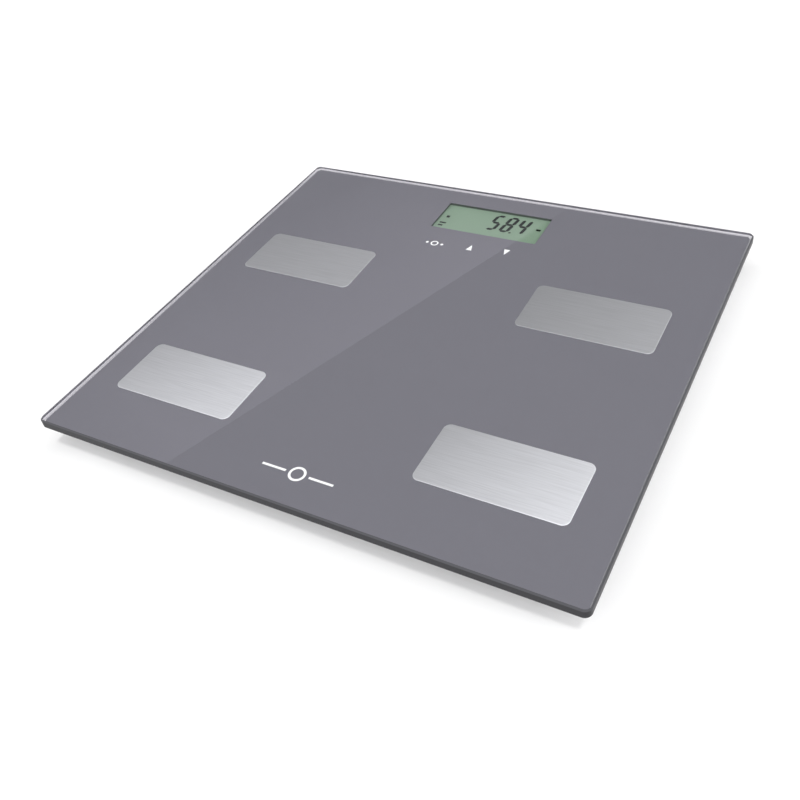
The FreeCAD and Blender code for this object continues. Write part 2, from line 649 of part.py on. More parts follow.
def add_ribs(body):
    """Lengthwise and crosswise ribs on the tray floor."""
    for sign in SIDES.values():
        x = signed(sign, f"({FOOT_X} - carrier_width / 2 - rib_gap)")
        add(body, sharp_rectangle("rib_thick", f"{INNER_DEPTH} + tray_wall"), TRAY_FLOOR, "rib_height", x)
    for y in ("rib_front", "rib_back"):
        add(body, sharp_rectangle(f"{INNER_WIDTH} + tray_wall", "rib_thick"), TRAY_FLOOR, "rib_height", y=y)


def add_screw_boss(body, side, end):
    """Boss under one corner of the circuit board, with its screw hole."""
    x = f"display_x + {side} * {BOARD_HOLE_X}"
    y = f"{BOARD_Y} + {end} * {BOARD_HOLE_Y}"
    add(body, disc("boss_diameter"), TRAY_FLOOR, "board_lift", x, y)
    cut(body, disc("screw_diameter + 2 * thread_gap"), "ground_gap + boss_base",
        f"{BOARD_BOTTOM} - ground_gap - boss_base", x, y)


def add_battery_well(body):
    """Box over the battery opening, with a ring for the coin cell and slots for tabs and tags."""
    add(body, rectangle(f"{WELL_WIDTH} + 2 * well_wall", f"{WELL_DEPTH} + 2 * well_wall",
                        "door_corner + door_gap + well_wall"),
        TRAY_FLOOR, f"{WELL_TOP} - {TRAY_FLOOR}", y=BATTERY_Y)
    cut(body, rectangle(WELL_WIDTH, WELL_DEPTH, "door_corner + door_gap"),
        "ground_gap", f"{WELL_CEILING} - ground_gap", y=BATTERY_Y)
    ring = "coin_diameter + 2 * cradle_gap"
    add(body, disc(f"{ring} + 2 * cradle_wall"), COIN_BOTTOM, f"{WELL_CEILING} - {COIN_BOTTOM}", y=BATTERY_Y)
    cut(body, disc(ring), COIN_BOTTOM, f"{WELL_CEILING} - {COIN_BOTTOM}", y=BATTERY_Y)
    contact_slot = sharp_rectangle("2 * cradle_gap + 2 * cradle_wall", "contact_width + 2 * tag_slot_gap")
    cut(body, contact_slot, COIN_BOTTOM, f"{WELL_CEILING} - {COIN_BOTTOM}", POSITIVE_X, BATTERY_Y)
    tag_slot = sharp_rectangle("contact_thick + 2 * tag_slot_gap", "tag_width + 2 * tag_slot_gap")
    for x in (POSITIVE_X, "-contact_shift"):
        cut(body, tag_slot, WELL_CEILING, "well_roof", x, BATTERY_Y)
    for sign in SIDES.values():
        cut(body, sharp_rectangle("tab_width + 2 * door_gap", "2 * well_wall + 2 * tab_reach"),
            TRAY_FLOOR, "tab_slot_height", signed(sign, "tab_spread"), f"{BATTERY_Y} - {WELL_DEPTH} / 2")


def cut_underside(body):
    """Button hole, finger dish, nail notch, label recess and sunk panels."""
    cut(body, disc("button_diameter + 2 * button_gap"), "ground_gap", "tray_floor", BUTTON_X, BUTTON_Y)
    cut(body, disc("dish_diameter"), "ground_gap", "dish_depth", BUTTON_X, BUTTON_Y)
    cut(body, disc("notch_diameter"), "ground_gap", "notch_depth", y=f"{BATTERY_Y} + {WELL_DEPTH} / 2")
    recess = rectangle("label_width + 2 * label_edge", "label_depth + 2 * label_edge", "door_corner")
    cut(body, recess, "ground_gap", "label_sink", y="label_front")
    width = f"({TUB_WIDTH} / 2 - panel_margin - panel_start)"
    depth = f"(2 * ({FOOT_Y} - {FOOT_HOLE} / 2 - panel_foot_gap))"
    for sign in SIDES.values():
        x = signed(sign, f"(panel_start + {width} / 2)")
        cut(body, rectangle(width, depth, "panel_corner"), "ground_gap", "panel_sink", x)


def make_label():
    """Blank rating label in its recess under the tray."""
    body = new_body("rating_label", y="label_front", z="ground_gap + label_sink - label_thick")
    add(body, rectangle("label_width", "label_depth", "door_corner"), "0", "label_thick")


# Load cells and feet.

def make_carrier(end, side):
    """Block bonded under the film that holds one load cell by the edges of its frame."""
    body = new_body(f"cell_carrier_{end}_{side}", signed(SIDES[side], FOOT_X), signed(ENDS[end], FOOT_Y),
                    CARRIER_BOTTOM)
    height = f"({FILM_BOTTOM} - {CARRIER_BOTTOM})"
    seat = f"({CELL_TOP} - {CARRIER_BOTTOM})"
    pocket_width = "(cell_width + 2 * carrier_fit)"
    add(body, rectangle("carrier_width", "carrier_width", "carrier_corner"), "0", height)
    cut(body, rectangle(pocket_width, pocket_width, "cell_corner"), "0", seat)
    cut(body, sharp_rectangle("relief_width", "relief_width"), seat, "carrier_relief")
    for sign in SIDES.values():
        lip_width = "(2 * carrier_fit + 2 * lip_reach)"
        x = signed(sign, f"({pocket_width} / 2)")
        add(body, sharp_rectangle(lip_width, "lip_length"), "0", "lip_height", x)
    notch = sharp_rectangle("carrier_width - relief_width", "2 * cell_lead_diameter")
    cut(body, notch, seat, "carrier_relief", signed(-SIDES[side], "(carrier_width / 2)"))


def make_load_cell(end, side):
    """Steel frame with a tongue that the foot bends upwards."""
    body = new_body(f"load_cell_{end}_{side}", signed(SIDES[side], FOOT_X), signed(ENDS[end], FOOT_Y),
                    CELL_BOTTOM)
    add(body, rectangle("cell_width", "cell_width", "cell_corner"), "0", "cell_thick")
    cut(body, sharp_rectangle("cell_window_width", "cell_window_depth"), "0", "cell_thick")
    tongue_depth = "(cell_window_depth - tongue_gap + tongue_gap / 2)"
    add(body, sharp_rectangle("tongue_width", tongue_depth), "0", "cell_thick",
        y="(tongue_gap + tongue_gap / 2) / 2")
    cut(body, disc("spigot_diameter + 2 * spigot_gap"), "0", "cell_thick")


def make_strain_gauges():
    """Two gauges on the root of each tongue."""
    gauges = []
    for end, side in CORNERS:
        for gauge_side in SIDES.values():
            x = f"{SIDES[side]} * {FOOT_X} + {gauge_side} * gauge_pitch / 2"
            y = f"{ENDS[end]} * {FOOT_Y} + cell_window_depth / 2 - gauge_length / 2"
            name = f"gauge_{end}_{side}_{len(gauges)}"
            gauges.append(block(name, "gauge_width", "gauge_length", "gauge_thick", x, y, CELL_TOP))
    group("strain_gauges", gauges)


def make_foot(end, side):
    """Foot with a recess for its pad, a post under the tongue and a spigot through it."""
    body = new_body(f"foot_{end}_{side}", signed(SIDES[side], FOOT_X), signed(ENDS[end], FOOT_Y),
                    "foot_proud")
    recess = "(pad_thick - foot_proud)"
    recess_radius = "(pad_diameter / 2 + pad_gap)"
    top = f"({CELL_BOTTOM} - post_gap - foot_proud)"
    turn(body, (
        ("0", recess),
        (recess_radius, recess),
        (recess_radius, "0"),
        ("foot_diameter / 2 - foot_edge", "0"),
        ("foot_diameter / 2", "foot_edge"),
        ("foot_diameter / 2", "foot_height - foot_edge"),
        ("foot_diameter / 2 - foot_edge", "foot_height"),
        ("post_diameter / 2", "foot_height"),
        ("post_diameter / 2", top),
        ("spigot_diameter / 2", top),
        ("spigot_diameter / 2", f"{top} + spigot_length"),
        ("0", f"{top} + spigot_length"),
    ))


def make_foot_pad(end, side):
    """Rubber disc under a foot, with a rounded lower edge."""
    body = new_body(f"foot_pad_{end}_{side}", signed(SIDES[side], FOOT_X), signed(ENDS[end], FOOT_Y))
    pad = add(body, disc("pad_diameter"), "0", "pad_thick")
    soften(body, "Fillet", pad, edges_at(pad, "0"), "pad_round")


# The circuit board and the display.

def make_board():
    """Circuit board with screw holes and slots for the bezel's legs."""
    body = new_body("circuit_board", "display_x", BOARD_Y, BOARD_BOTTOM)
    add(body, rectangle(BOARD_WIDTH, "board_depth", "board_corner"), "0", "board_thick")
    for side in SIDES.values():
        for end in ENDS.values():
            cut(body, disc("board_hole"), "0", "board_thick", signed(side, BOARD_HOLE_X),
                signed(end, BOARD_HOLE_Y))
            slot = sharp_rectangle("bezel_wall + 2 * leg_gap + 2 * leg_barb", "leg_width + 2 * leg_gap")
            cut(body, slot, "0", "board_thick", signed(side, LEG_X),
                f"{DISPLAY_Y} - {BOARD_Y} + {end} * leg_pitch / 2")


def make_board_screws():
    """Self-tapping screws at the corners of the board."""
    screws = []
    for side in SIDES.values():
        for end in ENDS.values():
            x = f"display_x + {side} * {BOARD_HOLE_X}"
            y = f"{BOARD_Y} + {end} * {BOARD_HOLE_Y}"
            number = len(screws)
            head = rod(f"screw_head_{number}", "screw_head", "screw_head_height", x, y, BOARD_TOP)
            shank = rod(f"screw_shank_{number}", "screw_diameter", "screw_length", x, y,
                        f"{BOARD_TOP} - screw_length")
            slot = block(f"screw_slot_{number}", "screw_slot_length", "screw_slot_width",
                         "screw_head_height / 2", x, y, f"{BOARD_TOP} + screw_head_height / 2")
            screws.append(subtract(f"screw_{number}", unite(f"screw_blank_{number}", head, shank), slot))
    group("board_screws", screws)


def make_lcd():
    """Liquid crystal panel, its light guide and its connector strips."""
    panel = new_body("lcd_panel", "display_x", DISPLAY_Y, LCD_BOTTOM)
    add(panel, sharp_rectangle("lcd_width", "lcd_depth"), "0", "lcd_thick")
    guide = new_body("lcd_backlight", "display_x", DISPLAY_Y, BOARD_TOP)
    add(guide, sharp_rectangle("backlight_width", "backlight_depth"), "0", "backlight_thick")
    strips = []
    for sign in ENDS.values():
        y = f"{DISPLAY_Y} + {sign} * (lcd_depth / 2 - zebra_inset - zebra_width / 2)"
        strips.append(block(f"zebra_strip_{len(strips)}", "zebra_length", "zebra_width",
                            f"{LCD_BOTTOM} - {BOARD_TOP}", "display_x", y, BOARD_TOP))
    group("connector_strips", strips)


def make_bezel():
    """Frame that holds the panel down, with snap legs through the board."""
    body = new_body("lcd_bezel", "display_x", DISPLAY_Y, f"{BOARD_TOP} + bezel_gap")
    height = f"({FILM_BOTTOM} - bezel_gap - {BOARD_TOP} - bezel_gap)"
    add(body, sharp_rectangle(BEZEL_WIDTH, BEZEL_DEPTH), "0", height)
    cut(body, sharp_rectangle("lcd_width + 2 * lcd_fit", "lcd_depth + 2 * lcd_fit"),
        "0", f"{LCD_TOP} - {BOARD_TOP} - bezel_gap")
    cut(body, rectangle("window_width + 2 * bezel_view", "window_depth + 2 * bezel_view", "window_corner"),
        "0", height)
    leg_length = "(board_thick + 2 * bezel_gap)"
    for side in SIDES.values():
        for end in ENDS.values():
            x = signed(side, LEG_X)
            y = signed(end, "leg_pitch / 2")
            add(body, sharp_rectangle("bezel_wall", "leg_width"), f"-{leg_length}", leg_length, x, y)
            barb_x = signed(side, f"({LEG_X} + leg_barb / 2)")
            add(body, sharp_rectangle("bezel_wall + leg_barb", "leg_width"),
                f"-{leg_length} - leg_barb", "leg_barb", barb_x, y)


def make_chip():
    """Resin cap over the controller, under the board."""
    body = new_body("controller_chip", "display_x - chip_shift", BOARD_Y, f"{BOARD_BOTTOM} - chip_height")
    cap = add(body, disc("chip_diameter"), "0", "chip_height")
    soften(body, "Fillet", cap, edges_at(cap, "0"), "chip_round")


def make_key_spring(key, step):
    """Coil that carries the touch of a printed key down to the board."""
    helix = doc.addObject("Part::Helix", f"coil_{key}")
    height = f"({FILM_BOTTOM} - {BOARD_TOP} - spring_wire)"
    x = f"display_x + {step} * key_pitch"
    bind(helix, "Radius", "(spring_diameter - spring_wire) / 2")
    bind(helix, "Height", height)
    bind(helix, "Pitch", f"{height} / spring_turns")
    place(helix, x, KEY_Y, f"{BOARD_TOP} + spring_wire / 2")
    wire = doc.addObject("Part::Circle", f"wire_{key}")
    bind(wire, "Radius", "spring_wire / 2")
    wire.Placement = FreeCAD.Placement(FreeCAD.Vector(), FreeCAD.Rotation(FreeCAD.Vector(1, 0, 0), 90))
    place(wire, f"{x} + (spring_diameter - spring_wire) / 2", KEY_Y, f"{BOARD_TOP} + spring_wire / 2")
    doc.recompute()
    sweep = doc.addObject("Part::Sweep", f"key_spring_{key}")
    sweep.Sections = [wire]
    sweep.Spine = (helix, [f"Edge{number + 1}" for number in range(len(helix.Shape.Edges))])
    sweep.Solid = True
    sweep.Frenet = True
    keep(sweep, f"key_spring_{key}")


# The unit button and its switch.

def make_unit_button():
    """Push button in the underside, kept in by its flange."""
    body = new_body("unit_button", BUTTON_X, BUTTON_Y, BUTTON_BOTTOM)
    cap_height = f"({BUTTON_FLANGE} - {BUTTON_BOTTOM})"
    cap = add(body, disc("button_diameter"), "0", cap_height)
    soften(body, "Fillet", cap, edges_at(cap, "0"), "button_gap")
    add(body, disc("button_flange"), cap_height, "button_flange_height")
    plunger = new_body("switch_plunger", BUTTON_X, BUTTON_Y, BUTTON_TOP)
    guide_top = f"({SWITCH_BOTTOM} + switch_hollow)"
    add(plunger, disc("plunger_diameter"), "0", f"{guide_top} - plunger_stroke_left - {BUTTON_TOP}")


def make_unit_switch():
    """Small push switch under the board."""
    body = new_body("unit_switch", BUTTON_X, BUTTON_Y, SWITCH_BOTTOM)
    add(body, sharp_rectangle("switch_width", "switch_width"), "0", "switch_height")
    cut(body, disc("plunger_diameter + 2 * plunger_gap"), "0", "switch_hollow")


# The battery.

def make_battery_door():
    """Door with two tabs at its front and a spring tongue at its back."""
    body = new_body("battery_door", y=BATTERY_Y, z="ground_gap")
    add(body, rectangle("door_width", "door_depth", "door_corner"), "0", "door_thick")
    edge = "(door_depth / 2)"
    tab_bottom = "(tray_floor + tab_gap)"
    for sign in SIDES.values():
        x = signed(sign, "tab_spread")
        add(body, sharp_rectangle("tab_width", "tab_thick"), "door_thick",
            f"{tab_bottom} + tab_thick - door_thick", x, f"tab_thick / 2 - {edge}")
        reach = "(tab_thick + door_gap + tab_reach)"
        add(body, sharp_rectangle("tab_width", reach), tab_bottom, "tab_thick",
            x, f"tab_thick - {reach} / 2 - {edge}")
    add(body, sharp_rectangle("latch_width", "latch_thick"), "door_thick", "latch_height",
        y=f"{edge} - latch_thick / 2")


def make_coin_cell():
    """Lithium coin cell with rounded rims."""
    body = new_body("coin_cell", y=BATTERY_Y, z=COIN_BOTTOM)
    can = add(body, disc("coin_diameter"), "0", "coin_thick")
    soften(body, "Fillet", can, edges_at(can, "0") + edges_at(can, "coin_thick"), "coin_round")


def make_contacts():
    """Spring contacts for the face and the rim of the coin cell, with solder tags on the well's roof."""
    tag_base = f"({WELL_TOP} + lead_gap)"
    stem_height = f"({WELL_TOP} - {WELL_CEILING} + contact_thick)"

    def add_tag(body, way):
        """Stem through the roof, bent over into a solder tag."""
        local_top = f"({tag_base} - {WELL_CEILING} + contact_thick)"
        add(body, sharp_rectangle("contact_thick", "tag_width"), "0", f"{stem_height} + lead_gap")
        tag_x = signed(way, "((tag_length - contact_thick) / 2)")
        add(body, sharp_rectangle("tag_length", "tag_width"), local_top, "contact_thick", tag_x)

    negative = new_body("battery_contact_negative", "-contact_shift", BATTERY_Y,
                        f"{WELL_CEILING} - contact_thick")
    strip = "(contact_shift + contact_width)"
    add(negative, sharp_rectangle(strip, "contact_width"), "0", "contact_thick",
        f"{strip} / 2 - contact_thick / 2")
    dimple = "(coin_head - contact_thick - contact_gap)"
    add(negative, disc("dimple_diameter"), f"-{dimple}", dimple, "contact_shift")
    add_tag(negative, -1)

    positive = new_body("battery_contact_positive", POSITIVE_X, BATTERY_Y, f"{WELL_CEILING} - contact_thick")
    leaf = "(coin_thick + coin_head - contact_thick - coin_round)"
    add(positive, sharp_rectangle("contact_thick", "contact_width"), f"-{leaf}", f"{leaf} + contact_thick")
    add_tag(positive, 1)


# Leads. Each is one round tube along straight runs joined by tangent arcs.

def rounded_path(points, bend):
    """Straight runs joined by arcs, each as large as its two runs allow."""
    edges = []
    start = points[0]
    for before, corner, after in zip(points, points[1:], points[2:]):
        way_in = (corner - before).normalize()
        way_out = (after - corner).normalize()
        half_turn = way_in.getAngle(way_out) / 2
        shorter = min((corner - before).Length, (after - corner).Length)
        radius = min(bend, 0.45 * shorter / math.tan(half_turn))
        reach = radius * math.tan(half_turn)
        first = corner - way_in * reach
        last = corner + way_out * reach
        middle = corner + (way_out - way_in).normalize() * radius * (1 / math.cos(half_turn) - 1)
        edges.append(Part.LineSegment(start, first).toShape())
        edges.append(Part.Arc(first, middle, last).toShape())
        start = last
    edges.append(Part.LineSegment(start, points[-1]).toShape())
    return Part.Wire(edges)


def lead(route, diameter):
    """Solid tube along a route of (x, y, z) expressions."""
    points = [FreeCAD.Vector(*(size(value) for value in point)) for point in route]
    path = rounded_path(points, size("lead_bend"))
    radius = size(diameter) / 2
    profile = Part.Wire(Part.makeCircle(radius, points[0], points[1] - points[0]))
    tube = path.makePipeShell([profile], True, False)
    expected = math.pi * radius**2 * path.Length
    if abs(tube.Volume - expected) > 0.01 * expected:
        raise ValueError(f"a lead has {tube.Volume:.2f} mm3 in place of {expected:.2f}")
    return tube


def keep_leads(label, tubes):
    """One node for like leads."""
    feature = doc.addObject("Part::Feature", label)
    feature.Shape = Part.makeCompound(tubes)
    feature.Placement = FreeCAD.Placement()
    keep(feature, label)


def lying_on(level, diameter):
    """Height of a lead's centre when it lies on a level."""
    return f"({level} + lead_gap + {diameter} / 2)"


def onto_board(x, diameter):
    """Last points of a lead that climbs over the board's front edge to a solder pad."""
    low = lying_on(f"({TRAY_FLOOR} + rib_height)", diameter)
    high = lying_on(BOARD_TOP, diameter)
    return [
        (x, f"{BOARD_FRONT} - board_lead_foot", low),
        (x, f"{BOARD_FRONT} - board_lead_gap", high),
        (x, f"{BOARD_FRONT} + board_lead_lap", high),
    ]


def make_cell_leads():
    """Three-core leads from the load cells to the board."""
    tubes = []
    low = lying_on(f"({TRAY_FLOOR} + rib_height)", "cell_lead_diameter")
    at_cell = lying_on(CELL_TOP, "cell_lead_diameter")
    at_board = lying_on(BOARD_TOP, "cell_lead_diameter")
    for side in SIDES.values():
        start_x = f"{side} * ({FOOT_X} - relief_width / 2 + cell_lead_start)"
        carrier_x = f"{side} * ({FOOT_X} - carrier_width / 2 - cell_lead_reach)"
        lane = f"(display_x + {side} * lane_inner)"
        front = [
            (start_x, f"-{FOOT_Y}", at_cell),
            (carrier_x, f"-{FOOT_Y}", at_cell),
            (f"{carrier_x} - {side} * cell_lead_fall", f"-{FOOT_Y}", low),
            (lane, f"-{FOOT_Y}", low),
        ]
        tubes.append(lead(front + onto_board(lane, "cell_lead_diameter"), "cell_lead_diameter"))
        board_edge = f"(display_x + {side} * {BOARD_WIDTH} / 2)"
        back_y = f"{FOOT_Y} - cell_lead_set"
        back = [
            (start_x, FOOT_Y, at_cell),
            (carrier_x, FOOT_Y, at_cell),
            (f"{board_edge} + {side} * cell_lead_side", back_y, at_board),
            (f"{board_edge} - {side} * cell_lead_lap", back_y, at_board),
        ]
        tubes.append(lead(back, "cell_lead_diameter"))
    keep_leads("load_cell_leads", tubes)


def make_electrode_leads():
    """Leads from the ring terminals to the board."""
    tubes = []
    low = lying_on(f"({TRAY_FLOOR} + rib_height)", "lead_diameter")
    high = lying_on(BOARD_TOP, "lead_diameter")
    barrel = f"({FILM_BOTTOM} - barrel_diameter / 2)"
    barrel_end = "(terminal_diameter / 2 + barrel_length)"
    for side in SIDES.values():
        x = f"({side} * {STUD_X})"
        front_y = f"({ELECTRODE_Y['front']} + {barrel_end})"
        fallen_y = f"{front_y} + electrode_lead_start + electrode_lead_fall"
        lane = f"(display_x + {side} * lane_middle)"
        front = [
            (x, front_y, barrel),
            (x, f"{front_y} + electrode_lead_start", barrel),
            (x, fallen_y, low),
            (x, f"{fallen_y} + electrode_lead_low", low),
            (lane, f"{fallen_y} + electrode_lead_low + electrode_lead_swing", low),
        ]
        tubes.append(lead(front + onto_board(lane, "lead_diameter"), "lead_diameter"))
        back_y = f"({ELECTRODE_Y['back']} + {barrel_end})"
        outer = f"(display_x + {side} * lane_outer)"
        back = [
            (x, back_y, barrel),
            (x, f"{back_y} + back_lead_start", barrel),
            (f"{x} - {side} * back_lead_shift", f"{back_y} + back_lead_start + back_lead_fall", high),
            (outer, f"{BOARD_FRONT} - board_lead_gap", high),
            (outer, f"{BOARD_FRONT} + board_lead_lap", high),
        ]
        tubes.append(lead(back, "lead_diameter"))
    keep_leads("electrode_leads", tubes)


def make_battery_leads():
    """Leads from the solder tags on the well's roof to the board."""
    tubes = []
    tag_top = f"({WELL_TOP} + lead_gap + contact_thick)"
    for x in (f"({POSITIVE_X} + tag_length / 2)", "(-contact_shift - tag_length / 2)"):
        tubes.append(lead([
            (x, f"{BATTERY_Y} - tag_width / 2", lying_on(tag_top, "lead_diameter")),
            (x, f"{BATTERY_Y} + {WELL_DEPTH} / 2", lying_on(tag_top, "lead_diameter")),
            (x, f"{BOARD_FRONT} - battery_lead_gap", lying_on(BOARD_TOP, "lead_diameter")),
            (x, f"{BOARD_FRONT} + board_lead_lap", lying_on(BOARD_TOP, "lead_diameter")),
        ], "lead_diameter"))
    keep_leads("battery_leads", tubes)


def check_and_write():
    """Stop on any failed object, and write each sub-part to its own file."""
    doc.recompute()
    for thing in doc.Objects:
        if "Invalid" in thing.State or "Error" in thing.State:
            raise ValueError(f"{thing.Name} failed: {thing.State}")
        if thing.TypeId == "PartDesign::Pocket":
            if thing.Shape.Volume > thing.BaseFeature.Shape.Volume - 1e-3:
                raise ValueError(f"{thing.Name} cuts nothing")
    os.makedirs("parts", exist_ok=True)
    for piece in pieces:
        if piece.Shape.isNull() or not piece.Shape.isValid():
            raise ValueError(f"{piece.Label} has no valid shape")
        piece.Shape.exportStep(f"parts/{piece.Label}.step")
        print(f"{piece.Label}: {len(piece.Shape.Solids)} solids, {piece.Shape.Volume / 1000:.2f} cm3")


make_glass()
make_film()
make_electrode_fixings()
make_tape()
make_tray()
make_label()
make_strain_gauges()
for corner_end, corner_side in CORNERS:
    make_electrode(corner_end, corner_side)
    make_carrier(corner_end, corner_side)
    make_load_cell(corner_end, corner_side)
    make_foot(corner_end, corner_side)
    make_foot_pad(corner_end, corner_side)
make_board()
make_board_screws()
make_lcd()
make_bezel()
make_chip()
for key_name, key_step in (("set", -1), ("up", 0), ("down", 1)):
    make_key_spring(key_name, key_step)
make_unit_button()
make_unit_switch()
make_battery_door()
make_coin_cell()
make_contacts()
make_cell_leads()
make_electrode_leads()
make_battery_leads()
check_and_write()
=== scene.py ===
import json
import math

import bmesh
import bpy
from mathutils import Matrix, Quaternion, Vector


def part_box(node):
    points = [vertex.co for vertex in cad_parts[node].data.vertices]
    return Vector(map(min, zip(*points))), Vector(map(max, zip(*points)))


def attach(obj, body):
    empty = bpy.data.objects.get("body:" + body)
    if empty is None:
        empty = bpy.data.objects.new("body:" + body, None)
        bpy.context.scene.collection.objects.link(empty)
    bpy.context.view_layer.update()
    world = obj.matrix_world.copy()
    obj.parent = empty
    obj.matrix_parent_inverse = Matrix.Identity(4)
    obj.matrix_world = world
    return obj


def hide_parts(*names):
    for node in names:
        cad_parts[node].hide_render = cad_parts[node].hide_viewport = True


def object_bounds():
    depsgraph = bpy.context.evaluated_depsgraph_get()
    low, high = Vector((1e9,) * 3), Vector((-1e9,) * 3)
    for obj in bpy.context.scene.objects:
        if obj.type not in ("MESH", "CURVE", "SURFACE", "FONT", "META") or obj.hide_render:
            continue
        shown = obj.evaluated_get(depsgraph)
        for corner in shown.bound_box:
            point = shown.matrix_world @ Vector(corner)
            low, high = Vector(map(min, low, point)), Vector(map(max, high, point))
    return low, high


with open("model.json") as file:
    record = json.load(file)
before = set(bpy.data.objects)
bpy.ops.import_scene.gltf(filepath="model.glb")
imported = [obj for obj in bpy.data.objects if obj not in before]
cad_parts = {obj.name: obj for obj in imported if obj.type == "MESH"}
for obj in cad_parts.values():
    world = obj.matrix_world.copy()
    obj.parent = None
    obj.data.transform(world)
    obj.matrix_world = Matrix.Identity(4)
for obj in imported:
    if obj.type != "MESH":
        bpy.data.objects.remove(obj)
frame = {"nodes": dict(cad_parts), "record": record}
CAD_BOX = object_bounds()

# A glass bathroom scale on a pale floor. Lengths named here are in millimetres and angles in
# degrees. The frame is in metres.
MM = 0.001

# Camera, measured from the middle of the glass's top face.
CAMERA_PLACE = (211.2, -333.6, 298.1)
CAMERA_AIM = (23.3, -58.8, 0)
CAMERA_ROLL = -9.25
CLIP_START = 10
LENS = 40.41
SENSOR = 36

# Dome of even light, with a dim flag that fades from its inner to its outer angle.
DOME = 1.68
FLAG_WAY = (-0.42, 0.66, 0.62)
FLAG_LEVEL = 0.05
FLAG_INNER = 27
FLAG_OUTER = 46

# Key light, and the way from the scale to it.
KEY_DIRECTION = (0.26, -0.2, 1)
KEY_ANGLE = 8
KEY_STRENGTH = 0.71

# Floor, and the light that it gives the underside.
FLOOR_SIDE = 8000
FLOOR_DROP = 0.1
FLOOR_COLOR = (0.9, 0.9, 0.9)
FLOOR_SPREAD = 0.005
FLOOR_PATCH = 50
FLOOR_GRAIN = 2
FLOOR_RELIEF = 0.02
FIRST_BOUNCE = 1
BOUNCE_MARGIN = 0.1
GLOW = 0.8

# Card that the glass reflects: the two ends of its near edge, seen from above.
CARD_HEIGHT = 600
CARD_EDGE = ((-601.8, 283.8), (-372, 905))
CARD_DEPTH = 420
CARD_FADE = 220
CARD_EXTRA = 0.46
CARD_COLOR = (1, 0.93, 1.08, 1)

# How much broader the patches of colour are than the grain of a surface.
BROAD = 12

# Flat glass. Beyond the printed film it is tinted darker from inside: painted shade on the ground
# edges and the floor seen through it, and a darker painted shade on the right side.
GLASS_IOR = 1.52
CLEAR_COLOR = (0.985, 0.99, 0.988)
CLEAR_SPREAD = 0.003
CLEAR_GRAIN = 60
CLEAR_ROUGH = (0.0, 0.002)
CLEAR_RELIEF = 0.0002
BORDER_PAINTED_SHADE = (0.57, 0.555, 0.6)
RIGHT_PAINTED_SHADE = (0.38, 0.38, 0.4)
BORDER_BLUR = 0.05

# Ground glass: from inside, and from outside on an upright and on a level face. The level face is
# painted lighter than the upright one: painted light, as if lit from above.
GROUND_INSIDE = (0.78, 0.765, 0.81)
GROUND_UPRIGHT = (0.04, 0.04, 0.044)
GROUND_LEVEL_PAINTED_LIGHT = (0.1, 0.1, 0.11)
GROUND_TURN = (0.1, 0.8)
GROUND_SPREAD = 0.02
GROUND_GRAIN = 0.3
GROUND_STRETCH = (1, 1, 4)
GROUND_ROUGH = (0.3, 0.4)
GROUND_RELIEF = 0.004
GROUND_SPECULAR = 0.08

# What lies in and under the glass. A face counts as an edge below the limit of its upward normal.
FILM_SINK = 0.03
EDGE_LIMIT = 0.9
MARK_LIFT = 0.01
MARK_THICK = 0.02

# Steel of the electrodes: the painted sheen of each, as a brightness from its left to its right
# end.
PAINTED_SHEEN = {
    "electrode_back_left": (0.41, 0.52),
    "electrode_back_right": (0.38, 0.54),
    "electrode_front_left": (0.51, 0.86),
    "electrode_front_right": (0.51, 0.95),
}
STEEL_GREEN = 1.012
STEEL_BLUE = 1.06
STEEL_TILT = -0.25
STEEL_GRAIN = 0.16
STEEL_STREAK = 4 * STEEL_GRAIN
STEEL_STRETCH = (0.03, 1, 1)
STEEL_SPREAD = 0.06
STEEL_ROUGH = (0.38, 0.5)
STEEL_RELIEF = 0.0015
STEEL_METALLIC = 0.5
STEEL_ANISOTROPY = 0.6
RIM = 0.18
RIM_ANGLE = 50
RIM_SEGMENTS = 2

# Printed marks: places from the middle of each key spring, and of the emblem from the middle of
# the glass. The ring and the dots have diameters, an arrow has its spring, its place and its
# way, and the emblem has a length, a height, a stroke and a gap for its ring.
SET_PLACE = (-1.8, -2.3)
SET_RING = (5, 3.2)
DOT_SHIFT = 5
DOT_SIZE = 1.9
ARROW_SIZE = (3.8, 5.6)
ARROWS = (("key_spring_up", (-0.6, -0.1), 1), ("key_spring_down", (-0.2, 1.7), -1))
EMBLEM_PLACE = (0, -119)
EMBLEM = (40, 9, 1.3, 13)
QUARTER_STEPS = 12
DISC_STEPS = 32

# Reading, with places from the middle of the panel. A small mark has its place and its size, and
# the last one is the point.
READING = "584"
READING_PLACE = (-2.7, -5.5)
DIGIT_SIZE = (6.8, 17.6)
DIGIT_PITCH = 9
DIGIT_LEAN = 0.14
STROKE = 2.1
SEGMENT_GAP = 0.1
LIT = {"5": "afgcd", "8": "abcdefg", "4": "fgbc"}
SMALL_MARKS = (
    ((30.4, 2.7), (3, 2)),
    ((-30.5, 1.2), (2.2, 2.4)),
    ((-30.8, -6.2), (4.4, 1.4)),
    ((-31.2, -9.2), (3.2, 1.4)),
    ((14.5, -5), (1.3, 1.3)),
)

# The Mix node's colour inputs and output.
MIX_START = 6
MIX_END = 7
MIX_RESULT = 2


def middle(node):
    """The middle of a CAD node's box."""
    low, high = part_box(node)
    return (low + high) / 2


GLASS_LOW, GLASS_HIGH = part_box("glass_platform")
PLATE = Vector((*middle("glass_platform").xy, GLASS_HIGH.z))
FILM_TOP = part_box("printed_film")[1].z
PANEL = middle("lcd_panel")
PANEL_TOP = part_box("lcd_panel")[1].z
SLOTS = {part["node"]: part["material_slot"] for part in frame["record"]["subparts"]}
BASE = {row["slot"]: row["base_color"] for row in frame["record"]["materials"]}


def metres(*lengths):
    """Lengths turned from millimetres into metres."""
    return [length * MM for length in lengths]


def shifted(centre, place):
    """A point in metres, at a place in millimetres from a centre."""
    return [start + length for start, length in zip(centre, metres(*place))]


